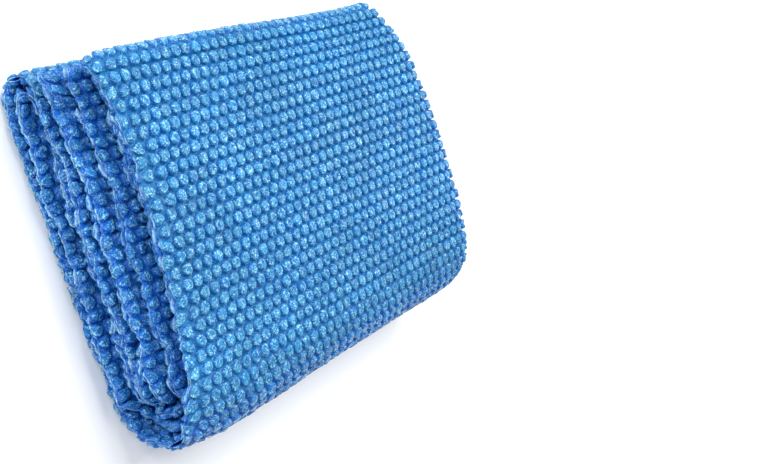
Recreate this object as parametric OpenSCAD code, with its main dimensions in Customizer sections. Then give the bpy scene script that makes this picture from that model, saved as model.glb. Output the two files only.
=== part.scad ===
// Folded bubble pool cover. One sheet of bubble film, folded once along its
// length and then halved three times across it, so the pack is eight doubled
// layers thick. X runs along the cross folds, Y from the bottom fold to the
// top folds, Z up through the layers. The pack lies on its back layer.

/* [Pack] */
// Width of the pack, along the cross folds
pack_w = 460; // [300:5:600]
// Length of the pack, over the bottom fold and the back's top fold
pack_l = 317.5; // [260:0.5:420]
// Thickness of one doubled layer: bubbles, film, film, bubbles
layer_t = 12.75; // [9:0.25:16]
// Clearance between neighbouring layers
layer_gap = 0.4; // [0.3:0.1:0.8]

/* [Top ends] */
// How far the front top fold stops short of the back top fold
front_fold_setback = 3.75; // [2:0.25:10]
// How far the two free ends of the sheet stop short of the back top fold
free_end_setback = 8; // [4:0.5:20]
// Stagger between the two free ends
free_end_stagger = 2.5; // [0:0.5:8]

/* [Long edges] */
// How far the folds stop short of the layers at the right edge
edge_inset = 3; // [2:0.5:6]

/* [Folds] */
// Clearance between a bottom fold and the layers that swing open
hinge_clear = 0.5; // [0.3:0.1:1]

/* [Hidden] */
$fn = 64;

layers = 8;
pack_h = layers * layer_t;
slab_t = layer_t - layer_gap;
hinge_y = -pack_l / 2 + 4 * layer_t;             // axis of the bottom folds
hinge_z = 4 * layer_t;
back_end_y = pack_l / 2 - 2 * layer_t;           // where the back's top folds start
front_end_y = pack_l / 2 - front_fold_setback - layer_t;
free_end_y = pack_l / 2 - free_end_setback;

film_blue = [0.16, 0.50, 0.80];
film_deep = [0.10, 0.36, 0.70];
film_light = [0.30, 0.64, 0.88];

// Cross-section of a doubled layer, X by thickness: square at the cut edges
// on the left, round at the long fold on the right.
module layer_section(t) {
    r = t / 2;
    translate([-pack_w / 2, 0]) square([pack_w - r, t]);
    intersection() {
        translate([pack_w / 2 - r, r]) circle(r = r);
        translate([pack_w / 2 - r, 0]) square([2 * r, t]);
    }
}

// One doubled layer. index counts from the floor; from and to are Y.
module layer(index, from, to) {
    z0 = index * layer_t + (index == 0 ? 0 : layer_gap / 2);
    z1 = (index + 1) * layer_t - (index == layers - 1 ? 0 : layer_gap / 2);
    translate([0, to, z0]) rotate([90, 0, 0])
        linear_extrude(height = to - from) layer_section(z1 - z0);
}

// Half ring about an X axis at (y, z): the fold of one doubled layer.
// level counts rings outward from the axis, towards -Y when side is -1.
module fold_ring(y, z, level, side, outer) {
    r0 = level * layer_t + (level == 0 ? 0 : layer_gap / 2);
    r1 = (level + 1) * layer_t - (outer ? 0 : layer_gap / 2);
    translate([0, y, z]) intersection() {
        rotate([0, 90, 0]) difference() {
            translate([0, 0, -pack_w / 2]) cylinder(r = r1, h = pack_w - edge_inset);
            if (level > 0)
                translate([0, 0, -pack_w / 2 - 1]) cylinder(r = r0, h = pack_w + 2);
        }
        translate([-pack_w, side > 0 ? 0 : -2 * r1, -2 * r1])
            cube([2 * pack_w, 2 * r1, 4 * r1]);
    }
}

module back_layer() { color(film_blue) layer(0, hinge_y, back_end_y); }
module back_second_layer() { color(film_deep) layer(1, hinge_y, back_end_y); }
module back_third_layer() { color(film_blue) layer(2, hinge_y, back_end_y); }
module back_fourth_layer() { color(film_deep) layer(3, hinge_y, back_end_y); }

module leaf_lower_layer() {
    color(film_blue) layer(4, hinge_y + hinge_clear, free_end_y);
}
module leaf_upper_layer() {
    color(film_deep) layer(5, hinge_y + hinge_clear, free_end_y - free_end_stagger);
}
module front_inner_layer() {
    color(film_blue) layer(6, hinge_y + hinge_clear, front_end_y);
}
module front_layer() {
    color(film_light) layer(7, hinge_y + hinge_clear, front_end_y);
}

module back_top_inner_fold() {
    color(film_deep) fold_ring(back_end_y, 2 * layer_t, 0, 1, false);
}
module back_top_fold() {
    color(film_light) fold_ring(back_end_y, 2 * layer_t, 1, 1, true);
}
module front_top_fold() {
    color(film_light) fold_ring(front_end_y, 7 * layer_t, 0, 1, true);
}

module bottom_fold_inner() { color(film_deep) fold_ring(hinge_y, hinge_z, 0, -1, false); }
module bottom_fold_third() { color(film_blue) fold_ring(hinge_y, hinge_z, 1, -1, false); }
module bottom_fold_second() { color(film_deep) fold_ring(hinge_y, hinge_z, 2, -1, false); }
module bottom_fold_outer() { color(film_light) fold_ring(hinge_y, hinge_z, 3, -1, true); }

back_layer();
back_second_layer();
back_third_layer();
back_fourth_layer();
leaf_lower_layer();
leaf_upper_layer();
front_inner_layer();
front_layer();
back_top_fold();
back_top_inner_fold();
front_top_fold();
bottom_fold_outer();
bottom_fold_second();
bottom_fold_third();
bottom_fold_inner();
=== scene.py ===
import bpy, math
import numpy as np
from mathutils import Matrix, Vector


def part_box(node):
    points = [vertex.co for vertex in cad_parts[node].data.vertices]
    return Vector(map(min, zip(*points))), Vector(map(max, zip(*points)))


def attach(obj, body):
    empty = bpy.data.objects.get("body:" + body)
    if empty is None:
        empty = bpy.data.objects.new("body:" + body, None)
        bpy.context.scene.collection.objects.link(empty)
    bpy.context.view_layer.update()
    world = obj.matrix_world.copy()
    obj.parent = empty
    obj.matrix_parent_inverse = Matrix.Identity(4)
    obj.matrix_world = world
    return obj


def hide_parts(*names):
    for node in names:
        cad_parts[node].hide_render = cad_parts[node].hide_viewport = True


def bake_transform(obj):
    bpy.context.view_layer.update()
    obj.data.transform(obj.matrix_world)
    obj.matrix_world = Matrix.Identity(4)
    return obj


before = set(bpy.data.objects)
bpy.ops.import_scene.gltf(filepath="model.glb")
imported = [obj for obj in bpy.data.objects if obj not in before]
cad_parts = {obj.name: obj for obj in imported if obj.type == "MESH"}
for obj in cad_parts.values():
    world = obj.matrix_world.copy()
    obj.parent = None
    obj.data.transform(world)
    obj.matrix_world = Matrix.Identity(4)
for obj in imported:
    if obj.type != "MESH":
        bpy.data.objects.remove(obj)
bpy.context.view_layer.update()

MM = 0.001


# ---------------------------------------------------------------- helpers
def smooth(a, b, t):
    t = np.clip((np.asarray(t, float) - a) / (b - a), 0.0, 1.0)
    return t * t * (3 - 2 * t)


def wave1(seed, s, length):
    """Smooth random curve of s, about -1 to 1, with the given typical wavelength."""
    rng = np.random.default_rng(seed)
    out = np.zeros_like(np.asarray(s, float))
    for k in range(7):
        f = 2 * math.pi / length * (0.45 + 1.5 * rng.random())
        out = out + np.sin(f * s + rng.random() * 6.283) * (0.35 + 0.5 * rng.random())
    return out / 2.2


def hash01(*keys):
    """A repeatable 0..1 number for each set of whole-number keys."""
    h = np.zeros(np.broadcast(*keys).shape, dtype=np.uint64) + np.uint64(1469598103)
    for k in keys:
        k = (np.asarray(k, dtype=np.int64) + 100003).astype(np.uint64)
        h = (h ^ (k * np.uint64(2654435761))) * np.uint64(1099511628211)
        h = h ^ (h >> np.uint64(29))
    return ((h >> np.uint64(11)) % np.uint64(1000003)).astype(float) / 1000003.0


# ---------------------------------------------------------------- the pack, in mm
box_lo, box_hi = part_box("front_layer")
LAYER = 12.75
HINGE_Y, HINGE_Z = -107.75, 51.0
P = 12.5                      # bubble pitch along a row
ROW = P * 0.866               # distance between rows
X0 = -212.5                   # a lattice column, near the cut edge
SHIFT = -15.0                 # from the lattice's own x to the pack's centre
OUTSIDE = ("front_layer", "front_top_fold", "bottom_fold_outer", "back_layer", "back_top_fold")
BASE_R, BUBBLE_H = 5.40, 4.6  # bubble
FILM_GAP = 1.4                # half the gap between the two plies
FOLD_R = 2.6                  # radius of the long fold
FILM_T = 0.45


def curve_at(y, ys, vs):
    return np.interp(y, ys, vs)


def right_line(y, z):
    """Where the long fold lies in x, for each height through the pack."""
    t = np.clip(z / 102.0, 0, 1)
    front = curve_at(y, [-170, -150, -134, -110, -62, 3, 45, 86, 103, 119, 137, 155], [214, 224, 233, 236, 241, 241, 239, 231, 226, 219, 205, 192])
    back = curve_at(y, [-170, -150, -110, 0, 110, 150, 170], [224, 232, 236, 238, 236, 228, 218])
    return back + (front - back) * smooth(0.45, 0.9, t) + 1.2 * wave1(5, y + 2.3 * z, 140)


def left_line(y, z, s, ply):
    """Where the cut edge lies in x."""
    t = np.clip(z / 102.0, 0, 1)
    front = curve_at(y, [-160, -140, -121, -107, -64, -21, 17, 66, 109, 138, 160],
                     [-217, -221, -221, -212, -203, -198, -199, -196, -198, -208, -212])
    back = curve_at(y, [-170, -145, -123, -54, 12, 110, 142, 165], [-194, -198, -205, -209, -212, -215, -214, -208])
    inner = np.interp(z, [0, 12, 19, 32, 45, 57, 70, 83, 90, 102], [-212, -212, -214, -208, -215, -212, -203, -189, -194, -205])
    f0, f1 = smooth(0.10, 0.16, t), smooth(0.83, 0.92, t)
    base = (back * (1 - f0) + inner * f0) * (1 - f1) + front * f1
    # the outer wrap of the bottom fold, and the inner loops set back in a pocket
    rho = np.hypot(y - HINGE_Y, z - HINGE_Z)
    wrap = smooth(-102, -112, y) * smooth(34, 41, rho)
    base = base * (1 - wrap) + wrap * np.interp(z, [0, 25, 51, 75, 95, 102], [-205, -207, -213, -218, -215, -214])
    base = base + 14.0 * smooth(-106, -120, y) * (1 - smooth(34, 41, rho))
    base = base - 2.0 + 2.0 * wave1(11 + ply, s, 75) + 0.7 * wave1(21 + ply, s, 24)
    return base


def warp(x, y, z):
    """The slack, crowned shape of the whole pack, in mm, smooth everywhere."""
    t = np.clip(z / 102.0, 0, 1.1)
    sx, sy = x / P + 0.5, y / P - 1.8
    crown = (-0.00405 * sy ** 2 - 0.0001 * sy ** 3 + 0.0006 * sx ** 2 - 0.0015 * sx * sy) * P
    dz = t ** (1.4 + 3.6 * smooth(-60, -98, y)) * crown
    # the right edge is pressed thinner, and rounds over at its top
    dz = dz - t ** 2 * 3.0 * smooth(205, 247, x) ** 1.5
    # loose layers at the cut edges
    left = smooth(-120, -218, x)
    ripple = 0.0
    for k, (wl, ph, wz) in enumerate([(118.0, 0.4, 0.060), (61.0, 2.1, 0.105), (33.0, 4.0, 0.17)]):
        ripple = ripple + np.sin(2 * math.pi * y / wl + ph + wz * z) * (1.6, 1.5, 1.0)[k]
    env = np.sin(math.pi * np.clip(t, 0, 1)) ** 0.6
    dz = dz + left * ripple * env
    # on the left the middle lines drift up towards the bottom fold
    dz = dz + left * env * 4.0 * (-y / 150.0) * np.exp(-((t - 0.45) / 0.28) ** 2)
    right = smooth(140, 240, x)
    dz = dz + right * env * 0.9 * np.sin(2 * math.pi * y / 83.0 + 0.06 * z)
    # the cut ends of the layers do not line up
    dx = smooth(-190, -214, x) * env * (1.6 * np.sin(0.19 * z + 0.9) + 1.4 * np.sin(2 * math.pi * y / 170 + 0.11 * z))
    # top ends: the humps lean a little
    top = smooth(90, 150, y)
    dy = top * (0.8 * np.sin(x / 61.0 + 0.03 * z) + 1.0 - (x + 200) * 0.0145)
    bottom = smooth(-110, -150, y)
    dy = dy + bottom * (0.6 * np.sin(x / 55.0 + 1.0) - 0.8 + 7.0 * smooth(-150, -225, x) + 3.0 * smooth(200, 240, x))
    return x + dx, y + dy, z + dz


# ---------------------------------------------------------------- the sheet's path
class Seg:
    """A piece of the folded sheet: a straight run or a half turn about the X axis."""
    def __init__(self, node, body, kind, a, rows, full_plus, full_minus, **kw):
        self.node, self.body, self.kind, self.a = node, body, kind, a
        self.rows, self.full = rows, (full_plus, full_minus)
        self.kw = kw

    def at(self, f):
        """f from 0 to 1 along the piece: y, z and the normal's y, z."""
        if self.kind == "run":
            z, y0, y1 = self.a
            y = y0 + (y1 - y0) * f
            sgn = 1.0 if y1 > y0 else -1.0
            return y, np.full_like(f, z), np.zeros_like(f), np.full_like(f, sgn)
        cy, cz, r, side, z_from, lead0, lead1 = self.a
        arc = math.pi * r
        total = lead0 + arc + lead1
        d = f * total
        th = np.clip((d - lead0) / r, 0, math.pi)
        up = 1.0 if z_from < cz else -1.0
        y = cy + side * r * np.sin(th)
        z = cz - up * r * np.cos(th)
        before = np.clip(lead0 - d, 0, None)
        after = np.clip(d - lead0 - arc, 0, None)
        y = y - side * before - side * after
        ty, tz = side * np.cos(th), up * np.sin(th)
        return y, z, -tz, ty

    def length(self):
        if self.kind == "run":
            return abs(self.a[2] - self.a[1])
        return self.a[5] + math.pi * self.a[2] + self.a[6]


def zl(k):
    return LAYER * (k + 0.5)


FRONT_A, FRONT_B = 22.5 - ROW * 11.5, 22.5 + ROW * 10.5
segs = [
    Seg("leaf_lower_layer", "middle_leaf", "run", (zl(4), 150.75, -107.25), 24, True, False),
    Seg("bottom_fold_inner", None, "turn", (HINGE_Y, 51.0, 6.4, -1, 57.4, 0.5, 0.0), 2, False, True,
        blend=("back_half", "middle_leaf", 44.0, 58.0)),
    Seg("back_fourth_layer", "back_half", "run", (zl(3), HINGE_Y, 133.25), 22, True, False),
    Seg("back_top_fold", "back_half", "turn", (133.25, 25.5, 19.1, 1, 44.6, 0.0, 0.0), 6, True, False),
    Seg("back_layer", "back_half", "run", (zl(0), 133.25, HINGE_Y), 22, True, False),
    Seg("bottom_fold_outer", None, "turn", (HINGE_Y, 51.0, 44.6, -1, 6.4, 0.0, FRONT_A - HINGE_Y), 13, True, False,
        blend=("back_half", "front_leaf", 8.0, 94.0)),
    Seg("front_layer", "front_leaf", "run", (zl(7), FRONT_A, FRONT_B), 22, True, False),
    Seg("front_top_fold", "front_leaf", "turn", (142.25, 89.25, 6.4, 1, 95.6, 142.25 - FRONT_B, 0.0), 3, True, False),
    Seg("front_inner_layer", "front_leaf", "run", (zl(6), 142.25, -107.25), 23, True, False),
    Seg("bottom_fold_second", None, "turn", (HINGE_Y, 51.0, 31.9, -1, 82.9, 0.5, 0.0), 9, False, True,
        blend=("back_half", "front_leaf", 20.0, 82.0)),
    Seg("back_second_layer", "back_half", "run", (zl(1), HINGE_Y, 133.25), 22, False, False),
    Seg("back_top_inner_fold", "back_half", "turn", (133.25, 25.5, 6.4, 1, 19.1, 0.0, 0.0), 2, False, False),
    Seg("back_third_layer", "back_half", "run", (zl(2), 133.25, HINGE_Y), 22, False, False),
    Seg("bottom_fold_third", None, "turn", (HINGE_Y, 51.0, 19.1, -1, 31.9, 0.0, 0.5), 6, True, False,
        blend=("back_half", "middle_leaf", 32.0, 70.0)),
    Seg("leaf_upper_layer", "middle_leaf", "run", (zl(5), -107.25, 148.25), 24, True, False),
]

# rows are numbered along the whole sheet; row 0 of the front layer is fixed
first = {}
front_i = [s.node for s in segs].index("front_layer")
n = 0
for i in range(front_i, len(segs)):
    first[i] = n
    n += segs[i].rows
n = 0
for i in range(front_i - 1, -1, -1):
    n -= segs[i].rows
    first[i] = n
s_start = {}
total = 0.0
for i, sg in enumerate(segs):
    s_start[i] = total
    total += sg.length()


# ---------------------------------------------------------------- bubble cells
def hex_boundary(per_edge):
    """Points round a hexagon of pitch 1, from the bottom corner, anticlockwise."""
    c = [(math.cos(math.radians(a)) / math.sqrt(3), math.sin(math.radians(a)) / math.sqrt(3))
         for a in (-90, -30, 30, 90, 150, 210)]
    pts = []
    for k in range(6):
        a, b = c[k], c[(k + 1) % 6]
        for j in range(per_edge):
            f = j / per_edge
            pts.append((a[0] + (b[0] - a[0]) * f, a[1] + (b[1] - a[1]) * f))
    return np.array(pts)


def build(i, sg):
    """One piece of the doubled sheet: a closed thin mesh, bubbles outwards on both plies."""
    per_edge = sg.kw.get("per_edge", 2)
    nb = 6 * per_edge
    hexp = hex_boundary(per_edge)
    rings = sg.kw.get("rings")
    rows = sg.rows
    parity0 = first[i]
    # the row centres, and the cut lines there
    fr = (np.arange(rows) + 0.5) / rows
    yr, zr, nyr, nzr = sg.at(fr)
    sr = s_start[i] + fr * sg.length()
    xr = right_line(yr, zr)
    lines = [left_line(yr, zr, sr, 0), left_line(yr, zr, sr, 1)]
    arc = math.pi * FOLD_R
    # w runs from X0 on the plus ply, round the long fold, and back on the minus ply
    wa = lines[0] - X0
    wb = (xr - X0) + arc + (xr - lines[1])
    half = P / 2
    # the long fold is not on the lattice: w has the lattice of the plus ply
    row_off = np.where((parity0 + np.arange(rows)) % 2 == 0, 0.0, half)
    a_r = np.round((wa - row_off - half) / P) * P + row_off + half
    b_r = np.round((wb - row_off - half) / P) * P + row_off + half
    cells = []          # row, centre w, kind: 0 whole, 1 right half, 2 left half
    for r in range(rows):
        even = (parity0 + r) % 2 == 0
        # the front face: its first row (towards the bottom fold) has columns on the lattice
        off = 0.0 if even else half
        c0 = math.ceil((a_r[r] - off - 1e-6) / P) * P + off
        c = c0
        while c <= b_r[r] + 1e-6:
            if abs(c - a_r[r]) < 1e-6:
                cells.append((r, c, 1))
            elif abs(c - b_r[r]) < 1e-6:
                cells.append((r, c, 2))
            else:
                cells.append((r, c, 0))
            c += P
    cells = np.array(cells)
    verts_w, verts_v, verts_h, verts_cap, verts_rnd, faces = [], [], [], [], [], []
    base_faces = []
    index = {}

    def shared(w, v, rnd=0.5):
        key = (round(w * 50), round(v * 500))
        k = index.get(key)
        if k is None:
            k = len(verts_w)
            index[key] = k
            verts_w.append(w); verts_v.append(v); verts_h.append(0.0); verts_cap.append(0.0); verts_rnd.append(rnd)
        return k

    def add(w, v, h, cap, rnd):
        verts_w.append(w); verts_v.append(v); verts_h.append(h); verts_cap.append(cap); verts_rnd.append(rnd)
        return len(verts_w) - 1

    rng = np.random.default_rng(900 + i)
    for (r, c, kind) in cells:
        r = int(r); kind = int(kind)
        vc = r + 0.5
        bx = c + hexp[:, 0] * P
        bv = vc + hexp[:, 1] / 0.866
        if r == 0:
            bv = np.where(bv < 0.5 - 0.15, 0.0, bv)
        if r == rows - 1:
            bv = np.where(bv > rows - 0.5 + 0.15, float(rows), bv)
        ids = list(range(nb))
        if kind == 1:
            ids = list(range(0, nb // 2 + 1))
        elif kind == 2:
            ids = list(range(nb // 2, nb)) + [0]
        closed = kind == 0
        ring0 = [shared(bx[k], bv[k]) for k in ids]
        # which ply, and whether its bubbles are ever seen
        mid_w = (xr[r] - X0) + arc / 2
        ply = 0 if c < mid_w else 1
        to_edge = min(c - a_r[r], b_r[r] - c)
        to_fold = abs(c - mid_w)
        seen = sg.full[ply] or to_edge < 3.1 * P or to_fold < 2.6 * P
        if sg.node in ("leaf_lower_layer",) and r < 3:
            seen = True
        if sg.node in ("leaf_upper_layer",) and r > rows - 4:
            seen = True
        if not seen:
            base_faces.append(list(ring0))
            faces.append(list(ring0))
            continue
        base_faces.append(list(ring0) if closed else list(ring0))
        rn = rng.random(12)
        hgt = BUBBLE_H * (0.86 + 0.2 * rn[0])
        if kind != 0:
            hgt *= 0.7
        elif to_edge < 1.1 * P:
            hgt *= 0.56 + 0.42 * rn[9]
        R = BASE_R * (0.96 + 0.07 * rn[1])
        tilt_a, tilt = rn[2] * 6.283, 0.10 * rn[3]
        dent_a, dent = rn[4] * 6.283, (rn[5] ** 2) * 0.85
        dent_r = 0.25 + 0.5 * rn[6]
        ox, ov = (rn[7] - 0.5) * 0.5, (rn[8] - 0.5) * 0.5
        dish = 0.30 * rn[6] ** 2
        # the third value places each ring on the colour ramp: low on the wall for painted shade, high on the cap for
        # its paler tint and painted sheen, with a painted highlight ring at the cap's edge on the finer bubbles
        if per_edge > 2:
            prof = [(1.0, 0.0, 0.10), (0.95, 0.50, 0.32), (0.84, 0.90, 0.80), (0.66, 1.02, 1.0), (0.34, 1.0 - 0.8 * dish, 0.84)]
        else:
            prof = [(1.0, 0.0, 0.10), (0.95, 0.50, 0.32), (0.82, 0.92, 0.85), (0.54, 1.0 - 0.4 * dish, 1.0)]
        lean = 0.0
        if closed and to_edge < 0.8 * P:
            ox, ov = (rn[7] - 0.5) * 1.6, (rn[8] - 0.5) * 1.8
            dent *= 1.5
            lean = (0.30 + 0.35 * rn[11]) * (-1 if c < mid_w else 1)
        prev = ring0
        nseg = len(ids)
        for ri, (rr, hh, cap) in enumerate(prof):
            cur = []
            for k in ids:
                a = -math.pi / 2 + 2 * math.pi * k / nb
                rad = R * rr
                px, pv = rad * math.cos(a), rad * math.sin(a)
                h = hgt * hh
                if hh > 0:
                    h *= 1 + tilt * math.cos(a - tilt_a) * rr
                    px += ox * hh + lean * h; pv += ov * hh
                    # a soft dent pressed into one side of the cap
                    dx = px / R - dent_r * math.cos(dent_a)
                    dv = pv / R - dent_r * math.sin(dent_a)
                    h -= dent * 1.9 * math.exp(-(dx * dx + dv * dv) / 0.10) * hh
                    # puckers round the shoulder
                    h += 0.16 * hh * math.sin(3 * a + rn[10] * 6.283) * (0.4 + dent) * (1 if ri >= 2 else 0.4)
                    px *= 1 + 0.02 * math.sin(4 * a + rn[11] * 6.283)
                if kind == 1 and k in (0, nb // 2):
                    px = 0.0
                if kind == 2 and k in (0, nb // 2):
                    px = 0.0
                cur.append(add(c + px, vc + pv / ROW, h, cap, rn[0]))
            m = len(ids)
            for k in range(m if closed else m - 1):
                k2 = (k + 1) % m
                faces.append((prev[k], prev[k2], cur[k2], cur[k]))
            prev = cur
        h = hgt * (1.0 - dish) - dent * 1.9 * math.exp(-(dent_r ** 2) / 0.10)
        ctr = add(c + (lean * h if closed else 0.0), vc, h, 0.78, rn[0])
        m = len(ids)
        for k in range(m if closed else m - 1):
            k2 = (k + 1) % m
            faces.append((prev[k], prev[k2], ctr))
        if not closed:
            # the base side of a half cell needs the same straight edge
            pass
    W = np.array(verts_w); V = np.array(verts_v); H = np.array(verts_h)
    CAP = np.array(verts_cap); RND = np.array(verts_rnd)
    nshared_ids = np.array(sorted(index.values()))
    # open edges of the bubble side
    count = {}
    for f in faces:
        m = len(f)
        for k in range(m):
            e = (f[k], f[(k + 1) % m])
            key = (min(e), max(e))
            if key in count:
                count[key] = None
            else:
                count[key] = e
    rim = [e for e in count.values() if e is not None]

    # ---- to 3-D
    f = np.clip(V / rows, 0, 1)
    y, z, ny, nz = sg.at(f)
    s = s_start[i] + f * sg.length()
    xr_v = right_line(y, z)
    la, lb = left_line(y, z, s, 0), left_line(y, z, s, 1)
    vi = V - 0.5
    a_v = np.interp(vi, np.arange(rows), a_r)
    b_v = np.interp(vi, np.arange(rows), b_r)
    wa_v, wb_v = la - X0, (xr_v - X0) + arc + (xr_v - lb)
    # ease the cells near each cut edge on to its line
    Wq = W.copy()
    is_rim = np.zeros(len(W), bool)
    for e in rim:
        is_rim[e[0]] = is_rim[e[1]] = True
    near_a, near_b = is_rim & (W - a_v < 0.8 * P), is_rim & (b_v - W < 0.8 * P)
    Wq[near_a] = (0.5 * W + 0.5 * a_v)[near_a]
    Wq[near_b] = (0.5 * W + 0.5 * b_v)[near_b]
    W = Wq
    W2 = W + (wa_v - a_v) * np.exp(-np.clip(W - a_v, 0, None) / 30.0) + (wb_v - b_v) * np.exp(-np.clip(b_v - W, 0, None) / 30.0)
    edge_d = np.minimum(W2 - wa_v, wb_v - W2)
    L = xr_v - X0
    q = W2 - L
    ang = np.clip(q / FOLD_R, 0, math.pi)
    # radius of the fold runs into the film gap away from it
    on_plus, on_minus = q < 0, q > arc
    x = np.where(on_plus, X0 + W2, np.where(on_minus, xr_v - (q - arc), xr_v + FOLD_R * np.sin(ang)))
    ease = np.where(on_plus, smooth(0, 45, -q), np.where(on_minus, smooth(0, 45, q - arc), 0.0))
    g = FOLD_R + (FILM_GAP - FOLD_R) * ease
    off = np.where(on_plus, g, np.where(on_minus, -g, FOLD_R * np.cos(ang)))
    onx = np.where(on_plus | on_minus, 0.0, np.sin(ang))
    onn = np.where(on_plus, 1.0, np.where(on_minus, -1.0, np.cos(ang)))
    # the plies part and ripple at the cut edges
    near = np.exp(-np.clip(edge_d, 0, None) / 11.0)
    near2 = np.exp(-np.clip(edge_d, 0, None) / 4.5)
    flare = np.where(on_plus,
                     1.1 * wave1(31, s, 60) + 0.8 * wave1(32, s, 21),
                     1.1 * wave1(41, s, 66) + 0.8 * wave1(42, s, 24))
    off = off + onn * (flare - 0.35) * near + onn * near2 * 0.35 * np.where(on_plus, wave1(33, s, 12.5), wave1(43, s, 13.5))
    # bubbles fade out at a cut edge
    H2 = H * smooth(-0.8, 1.6, edge_d)
    def place(extra):
        o = off + onn * extra
        X = x + onx * extra
        Y = y + ny * o
        Z = z + nz * o
        X, Y, Z = warp(X, Y, Z)
        # bubbles the pack stands on are pressed flat by the floor
        Z = np.where(Z < 1.2, 0.25 + 0.95 * np.exp((np.minimum(Z, 1.2) - 1.2) / 0.95), Z)
        return X + SHIFT, Y, Z
    ax, ay, az = place(H2)
    bx_, by_, bz_ = place(np.full_like(H2, -FILM_T))
    top = np.stack([ax, ay, az], 1)
    low = np.stack([bx_, by_, bz_], 1)[nshared_ids]
    remap = np.full(len(W), -1)
    remap[nshared_ids] = np.arange(len(nshared_ids)) + len(W)
    # each half cell's straight edge: middle vertices have no partner below, so the base side is stitched round them
    low_faces = []
    for bf in base_faces:
        low_faces.append([int(remap[k]) for k in bf][::-1])
    wall = []
    extra_low = {}
    pts_extra = []
    def lowof(k):
        if remap[k] >= 0:
            return int(remap[k])
        if k not in extra_low:
            extra_low[k] = len(W) + len(nshared_ids) + len(pts_extra)
            pts_extra.append((bx_[k], by_[k], bz_[k]))
        return extra_low[k]
    for (p0, p1) in rim:
        wall.append((p1, p0, lowof(p0), lowof(p1)))
    # half cells: the base polygon runs through the extra points on its straight edge
    if extra_low:
        fixed = []
        used = set(extra_low)
        chain = {}
        for (p0, p1) in rim:
            if p0 in used or p1 in used:
                chain[p0] = p1
        for bf, lf in zip(base_faces, low_faces):
            a, b = bf[-1], bf[0]
            if a in chain and chain[a] in used:
                run, k = [], chain[a]
                while k in used:
                    run.append(k)
                    k = chain.get(k, -1)
                if k == b:
                    poly = list(bf) + run
                    fixed.append([lowof(v) for v in poly][::-1])
                    continue
            fixed.append(lf)
        low_faces = fixed
    P3 = np.concatenate([top, low] + ([np.array(pts_extra)] if pts_extra else []), 0)
    all_faces = [tuple(int(k) for k in fc) for fc in faces] + [tuple(fc) for fc in low_faces] + wall
    nP = len(P3)
    # cap: place on the colour ramp, for the painted wall shade and the cap's paler tint and painted sheen
    cap = np.zeros(nP); cap[:len(W)] = CAP
    rnd = np.full(nP, 0.5); rnd[:len(W)] = RND
    # painted highlight along the cut edges of the film
    edge = np.zeros(nP); edge[:len(W)] = np.clip(1 - edge_d / 1.0, 0, 1) * np.where(H > 0, 0.3, 1.0)
    edge[len(W):len(W) + len(nshared_ids)] = np.clip(1 - edge_d[nshared_ids] / 1.0, 0, 1)
    for k, kk in extra_low.items():
        edge[kk] = 1.0
    # painted recess shade on surfaces tucked between the layers, close to the cut edges: a darker, saturated blue
    # that also stands in for light scattered through the film
    if sg.node in OUTSIDE:
        tucked = ang / math.pi if sg.full[0] else 1 - ang / math.pi
    else:
        tucked = np.ones_like(edge_d)
    close = np.exp(-(np.clip(edge_d, 0, None) / 30.0) ** 2)
    deep = np.ones(nP)
    deep[:len(W)] = tucked * close
    if sg.node in OUTSIDE:
        # painted shade where the pack turns over, a deeper blue for film seen edge-on through more film
        turned = np.clip(0.85 * smooth(-122, -146, y) + 0.35 * smooth(215, 241, x), 0, 0.9)
        deep[:len(W)] = np.maximum(deep[:len(W)], turned)
    deep[len(W):len(W) + len(nshared_ids)] = close[nshared_ids]
    me = bpy.data.meshes.new(sg.node + "_film")
    me.from_pydata((P3 * MM).tolist(), [], all_faces)
    me.validate()
    me.update()
    for name, vals in (("cap", cap), ("tone", rnd), ("cut", edge), ("deep", deep)):
        at = me.attributes.new(name, "FLOAT", "POINT")
        at.data.foreach_set("value", vals.astype(np.float32))
    me.polygons.foreach_set("use_smooth", np.ones(len(me.polygons), dtype=bool))
    ob = bpy.data.objects.new(sg.node + "_film", me)
    bpy.context.scene.collection.objects.link(ob)
    return ob


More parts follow.
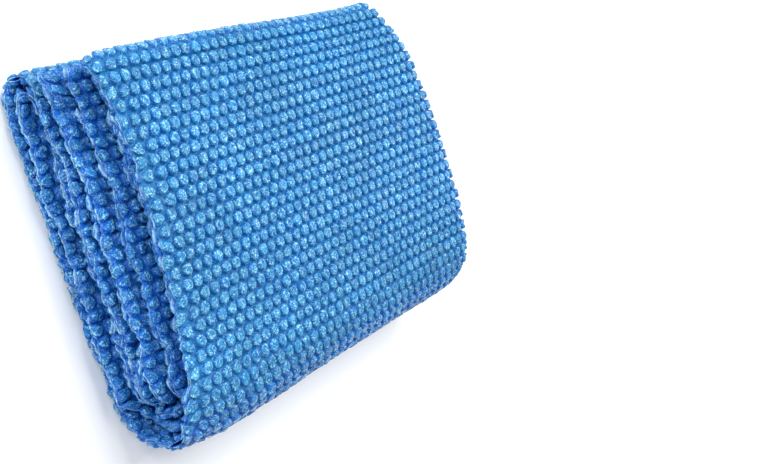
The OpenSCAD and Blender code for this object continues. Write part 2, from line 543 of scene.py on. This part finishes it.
# ---------------------------------------------------------------- material
def film_material():
    m = bpy.data.materials.new("blue_bubble_film")
    m.use_nodes = True
    nt = m.node_tree
    nt.nodes.clear()
    L = nt.links.new

    def N(kind, **kw):
        nd = nt.nodes.new(kind)
        for k, v in kw.items():
            setattr(nd, k, v)
        return nd

    def math_node(op, a, b=None, c=None):
        nd = N("ShaderNodeMath", operation=op)
        for k, v in enumerate((a, b, c)):
            if v is None:
                continue
            if isinstance(v, (int, float)):
                nd.inputs[k].default_value = v
            else:
                L(v, nd.inputs[k])
        return nd.outputs[0]

    def noise(scale, detail, rough, dist, shift=(0, 0, 0)):
        mp = N("ShaderNodeMapping")
        mp.inputs["Location"].default_value = shift
        L(co.outputs["Object"], mp.inputs["Vector"])
        nd = N("ShaderNodeTexNoise")
        nd.inputs["Scale"].default_value = scale
        nd.inputs["Detail"].default_value = detail
        nd.inputs["Roughness"].default_value = rough
        nd.inputs["Distortion"].default_value = dist
        L(mp.outputs["Vector"], nd.inputs["Vector"])
        return nd.outputs["Fac"]

    def span(v, a, b, c=0.0, d=1.0):
        nd = N("ShaderNodeMapRange")
        nd.inputs["From Min"].default_value = a
        nd.inputs["From Max"].default_value = b
        nd.inputs["To Min"].default_value = c
        nd.inputs["To Max"].default_value = d
        L(v, nd.inputs["Value"])
        return nd.outputs[0]

    def mix(fac, a, b):
        nd = N("ShaderNodeMix", data_type="RGBA")
        L(fac, nd.inputs["Factor"])
        for v, sock in ((a, "A"), (b, "B")):
            if isinstance(v, tuple):
                nd.inputs[sock].default_value = v
            else:
                L(v, nd.inputs[sock])
        return nd.outputs["Result"]

    out = N("ShaderNodeOutputMaterial")
    sh = N("ShaderNodeBsdfPrincipled")
    L(sh.outputs["BSDF"], out.inputs["Surface"])
    co = N("ShaderNodeTexCoord")
    cap = N("ShaderNodeAttribute", attribute_name="cap").outputs["Fac"]
    tone = N("ShaderNodeAttribute", attribute_name="tone").outputs["Fac"]
    cut = N("ShaderNodeAttribute", attribute_name="cut").outputs["Fac"]
    deep = N("ShaderNodeAttribute", attribute_name="deep").outputs["Fac"]
    streak = noise(FINE, 2.0, 0.55, 1.8)
    crease = noise(FINE * 0.8, 2.0, 0.5, 2.2, (0.31, 0.17, 0.05))
    wide = noise(13, 2.0, 0.5, 0.0, (0.7, 0.2, 0.4))

    # colour by place on the bubble: the paler cap is partly the thinner film's own tint, partly painted sheen
    ramp = N("ShaderNodeValToRGB")
    cr = ramp.color_ramp
    cr.elements[0].position = 0.0; cr.elements[0].color = FILM_COL
    cr.elements[1].position = 1.0; cr.elements[1].color = CAP_TINT_SHEEN_COL
    # painted shade on the bubble walls, darker than the open film
    e = cr.elements.new(0.26); e.color = WALL_SHADE_COL
    e = cr.elements.new(0.56); e.color = MID_COL
    L(cap, ramp.inputs["Fac"])
    # painted recess shade: a darker, saturated blue on the tucked surfaces, less on the caps
    body = mix(math_node("MULTIPLY", deep, span(cap, 0.2, 1.0, 0.95, 0.45)), ramp.outputs["Color"], RECESS_SHADE_COL)
    # painted highlights: pale streaks on the caps, and glints in the recesses
    light = math_node("MULTIPLY", span(streak, 0.53, 0.62), math_node("MAXIMUM", span(cap, 0.0, 0.9, 0.15, 1.0), math_node("MULTIPLY", deep, 0.55)))
    col = mix(light, body, STREAK_HIGHLIGHT_COL)
    # painted shade: dark crease marks on the caps
    dark = math_node("MULTIPLY", span(crease, 0.51, 0.59, 0.0, 0.9), span(cap, 0.0, 0.7, 0.35, 1.0))
    col = mix(dark, col, CREASE_SHADE_COL)
    hsv = N("ShaderNodeHueSaturation")
    L(math_node("MULTIPLY", span(tone, 0, 1, 0.90, 1.12), span(wide, 0.3, 0.7, 0.92, 1.08)), hsv.inputs["Value"])
    L(col, hsv.inputs["Color"])
    # painted highlight: pale lines along the cut edges
    edge = math_node("MULTIPLY", math_node("POWER", cut, 3.0), span(wide, 0.35, 0.6, 0.35, 1.0))
    edge = math_node("MULTIPLY", edge, span(crease, 0.35, 0.55, 0.3, 1.0))
    col = mix(edge, hsv.outputs["Color"], CUT_HIGHLIGHT_COL)
    L(col, sh.inputs["Base Color"])
    L(span(streak, 0.35, 0.65, 0.30, 0.14), sh.inputs["Roughness"])
    sh.inputs["IOR"].default_value = 1.5
    sh.inputs["Specular IOR Level"].default_value = 0.3
    sh.inputs["Subsurface Weight"].default_value = 0.2
    sh.inputs["Subsurface Radius"].default_value = (0.4, 0.7, 1.0)
    sh.inputs["Subsurface Scale"].default_value = 0.004
    bump = N("ShaderNodeBump")
    bump.inputs["Strength"].default_value = 0.35
    bump.inputs["Distance"].default_value = 0.0009
    L(math_node("ADD", streak, math_node("MULTIPLY", crease, -0.7)), bump.inputs["Height"])
    L(bump.outputs["Normal"], sh.inputs["Normal"])
    return m


FINE = 310.0
FILM_COL = (0.008, 0.180, 0.460, 1)
# painted shade: the colour of the bubble walls
WALL_SHADE_COL = (0.004, 0.125, 0.420, 1)
# painted recess shade, also standing in for light scattered through the film
RECESS_SHADE_COL = (0.004, 0.125, 0.610, 1)
MID_COL = (0.018, 0.230, 0.510, 1)
# paler caps: partly the thinner cap film's own tint, partly painted sheen
CAP_TINT_SHEEN_COL = (0.046, 0.295, 0.530, 1)
# painted highlight colour for the streaks and glints
STREAK_HIGHLIGHT_COL = (0.320, 0.690, 0.810, 1)
# painted shade colour for the creases
CREASE_SHADE_COL = (0.004, 0.105, 0.400, 1)
# painted highlight colour for the cut edges
CUT_HIGHLIGHT_COL = (0.420, 0.760, 0.950, 1)

film = film_material()

# ---------------------------------------------------------------- build every piece
for i, sg in enumerate(segs):
    if sg.node in ("front_layer", "bottom_fold_outer", "front_top_fold"):
        sg.kw["per_edge"] = 3
    ob = build(i, sg)
    ob.data.materials.append(film)
    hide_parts(sg.node)
    b = sg.kw.get("blend")
    if b:
        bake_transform(ob)
    else:
        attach(ob, sg.body)
    sg.length() * MM

# ---------------------------------------------------------------- floor, light, camera
me = bpy.data.meshes.new("floor")
me.from_pydata([(-8, -8, 0), (8, -8, 0), (8, 8, 0), (-8, 8, 0)], [], [(0, 1, 2, 3)])
floor = bpy.data.objects.new("floor", me)
bpy.context.scene.collection.objects.link(floor)
fm = bpy.data.materials.new("floor_white")
fm.use_nodes = True
fb = fm.node_tree.nodes["Principled BSDF"]
fb.inputs["Base Color"].default_value = (0.95, 0.95, 0.95, 1)
fb.inputs["Roughness"].default_value = 0.9
fb.inputs["Emission Color"].default_value = (1.0, 1.0, 1.0, 1)
fb.inputs["Emission Strength"].default_value = 0.13
floor.data.materials.append(fm)

world = bpy.data.worlds.new("studio")
bpy.context.scene.world = world
world.use_nodes = True
world.node_tree.nodes["Background"].inputs["Color"].default_value = (0.96, 0.98, 1.0, 1)
world.node_tree.nodes["Background"].inputs["Strength"].default_value = 0.55


def area(name, loc, aim, size, power, color=(1, 1, 1)):
    ld = bpy.data.lights.new(name, "AREA")
    ld.shape = "RECTANGLE"
    ld.size, ld.size_y = size
    ld.energy = power
    ld.color = color
    lo = bpy.data.objects.new(name, ld)
    bpy.context.scene.collection.objects.link(lo)
    lo.location = loc
    lo.rotation_euler = (Vector(aim) - Vector(loc)).to_track_quat("-Z", "Y").to_euler()
    return lo


area("key_top", (0.3, 1.0, 2.1), (0, 0, 0.05), (2.2, 1.8), 50)
area("strip_far", (1.7, -0.1, 1.1), (0, 0, 0.08), (0.08, 1.6), 6.0)
area("strip_left", (-1.5, 0.8, 0.9), (0, 0, 0.05), (0.12, 1.2), 13.0)

bpy.context.scene.view_settings.view_transform = "Standard"
bpy.context.scene.view_settings.look = "None"

cam_d = bpy.data.cameras.new("camera")
cam = bpy.data.objects.new("camera", cam_d)
bpy.context.scene.collection.objects.link(cam)
bpy.context.scene.camera = cam
cam_d.sensor_width = 36.0
cam_d.lens = 1234.5 / 778.0 * 36.0
cam_d.clip_start, cam_d.clip_end = 0.01, 50.0
right = Vector((0.49240, -0.28815, 0.82129))
up = Vector((0.25913, 0.94935, 0.17772))
fwd = Vector((0.83090, -0.12531, -0.54213))
rot = Matrix((right, up, -fwd)).transposed()
cam.matrix_world = Matrix.Translation((-0.87415 + SHIFT * MM, 0.07914, 0.73533)) @ rot.to_4x4()
